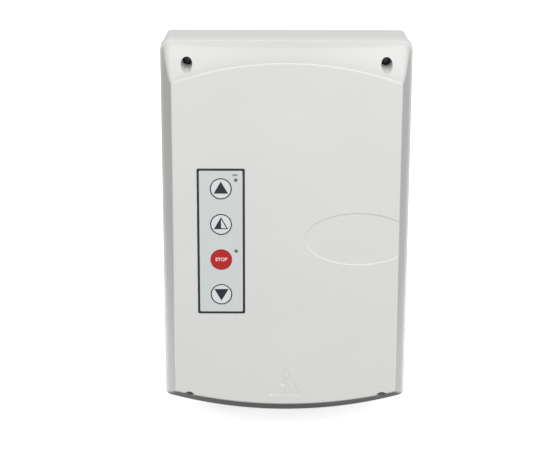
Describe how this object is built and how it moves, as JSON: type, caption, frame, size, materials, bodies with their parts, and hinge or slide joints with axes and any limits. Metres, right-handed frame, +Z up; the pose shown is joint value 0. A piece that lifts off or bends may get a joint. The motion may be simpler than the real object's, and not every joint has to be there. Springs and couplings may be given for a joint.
{
  "type": "automatic coop door control unit",
  "caption": "Wall-mounted control box for a motorised coop or shed door: tapered cover with scooped top, keypad with open, part-open, stop and close keys, cable glands below.",
  "frame": {"origin": "centre of the four wall holes, in the plane of the wall", "axes": "+X to the right seen from the front, -Y out of the wall towards the user, +Z up"},
  "size_m": [0.188, 0.1151, 0.3],
  "materials": {
    "housing_abs": "fine moulded texture",
    "cover_abs": "fine moulded texture",
    "seal_rubber": "matt",
    "keypad_film": "screen-printed polyester film",
    "stop_film": "screen-printed polyester film",
    "clear_film": "clear window",
    "spacer_film": "matt film",
    "flex_circuit": "polyimide film",
    "dome_steel": "bright",
    "circuit_board": "solder mask",
    "black_plastic": "moulded",
    "green_terminal": "moulded",
    "relay_blue": "moulded",
    "capacitor_sleeve": "shrink sleeve",
    "disc_epoxy": "dipped epoxy",
    "copper_wire": "enamelled wire",
    "core_steel": "laminated",
    "zinc_steel": "zinc plated",
    "screw_steel": "black zinc",
    "brass_part": "turned",
    "heat_sink_aluminium": "anodised",
    "white_plastic": "moulded",
    "gland_nylon": "moulded",
    "fuse_glass": "clear",
    "display_red": "tinted window"
  },
  "bodies": {
    "housing": {"rear_housing": "housing_abs", "screw_inserts": "brass_part", "earth_bar": "brass_part", "main_board": "circuit_board", "board_screws": "zinc_steel", "transformer_core": "core_steel", "transformer_winding": "copper_wire", "transformer_clamp": "zinc_steel", "fuse_holder": "black_plastic", "mains_terminal": "green_terminal", "motor_terminal": "green_terminal", "control_terminals": "green_terminal", "terminal_screws": "zinc_steel", "relays": "relay_blue", "power_capacitors": "capacitor_sleeve", "surge_discs": "disc_epoxy", "filter_choke": "copper_wire", "heat_sink": "heat_sink_aluminium", "power_transistors": "black_plastic", "microcontroller": "black_plastic", "logic_chips": "black_plastic", "ribbon_header": "black_plastic", "status_display": "display_red", "selector_base": "relay_blue", "button_bases": "black_plastic", "sounder": "black_plastic", "gland_bodies": "gland_nylon", "gland_lock_nuts": "gland_nylon", "gland_cap_nuts": "gland_nylon", "gland_seals": "seal_rubber", "gland_washers": "seal_rubber", "blanking_plug": "gland_nylon"},
    "cover": {"front_cover": "cover_abs", "cover_seal": "seal_rubber", "screw_retainers": "seal_rubber", "keypad_circuit": "spacer_film", "key_domes": "dome_steel", "keypad_spacer": "spacer_film", "keypad_overlay": "keypad_film", "lamp_windows": "clear_film", "keypad_tail": "flex_circuit", "tail_plug": "black_plastic"},
    "open_key": {"open_key": "keypad_film"},
    "partial_open_key": {"partial_open_key": "keypad_film"},
    "stop_key": {"stop_key": "stop_film"},
    "close_key": {"close_key": "keypad_film"},
    "screw_upper_left": {"cover_screw_upper_left": "screw_steel"},
    "screw_upper_right": {"cover_screw_upper_right": "screw_steel"},
    "screw_lower_left": {"cover_screw_lower_left": "screw_steel"},
    "screw_lower_right": {"cover_screw_lower_right": "screw_steel"},
    "fuse_cap": {"fuse_cap": "black_plastic", "fuse_link": "fuse_glass"},
    "selector": {"selector_knob": "white_plastic"},
    "menu_up": {"menu_button_up": "white_plastic"},
    "menu_down": {"menu_button_down": "white_plastic"}
  },
  "joints": [
    {"name": "cover_lift", "type": "slide", "parent": "housing", "child": "cover", "axis": [0, -1, 0], "range_m": [0, 0.15]},
    {"name": "open_key_press", "type": "slide", "parent": "cover", "child": "open_key", "axis": [0, 1, 0], "range_m": [0, 0.00035], "stiffness_N_per_m": 400},
    {"name": "partial_open_key_press", "type": "slide", "parent": "cover", "child": "partial_open_key", "axis": [0, 1, 0], "range_m": [0, 0.00035], "stiffness_N_per_m": 400},
    {"name": "stop_key_press", "type": "slide", "parent": "cover", "child": "stop_key", "axis": [0, 1, 0], "range_m": [0, 0.00035], "stiffness_N_per_m": 400},
    {"name": "close_key_press", "type": "slide", "parent": "cover", "child": "close_key", "axis": [0, 1, 0], "range_m": [0, 0.00035], "stiffness_N_per_m": 400},
    {"name": "screw_upper_left_turn", "type": "hinge", "parent": "cover", "child": "screw_upper_left", "pos_m": [-0.0725, -0.07, 0.1375], "axis": [0, -1, 0], "continuous": true},
    {"name": "screw_upper_right_turn", "type": "hinge", "parent": "cover", "child": "screw_upper_right", "pos_m": [0.0725, -0.07, 0.1375], "axis": [0, -1, 0], "continuous": true},
    {"name": "screw_lower_left_turn", "type": "hinge", "parent": "cover", "child": "screw_lower_left", "pos_m": [-0.0725, -0.07, -0.1115], "axis": [0, -1, 0], "continuous": true},
    {"name": "screw_lower_right_turn", "type": "hinge", "parent": "cover", "child": "screw_lower_right", "pos_m": [0.0725, -0.07, -0.1115], "axis": [0, -1, 0], "continuous": true},
    {"name": "fuse_cap_turn", "type": "hinge", "parent": "housing", "child": "fuse_cap", "pos_m": [-0.07, -0.04, -0.045], "axis": [0, -1, 0], "range_deg": [0, 90]},
    {"name": "selector_turn", "type": "hinge", "parent": "housing", "child": "selector", "pos_m": [0.06, -0.018, 0.002], "axis": [0, -1, 0], "continuous": true},
    {"name": "menu_up_press", "type": "slide", "parent": "housing", "child": "menu_up", "axis": [0, 1, 0], "range_m": [0, 0.0004], "stiffness_N_per_m": 400},
    {"name": "menu_down_press", "type": "slide", "parent": "housing", "child": "menu_down", "axis": [0, 1, 0], "range_m": [0, 0.0004], "stiffness_N_per_m": 400}
  ]
}
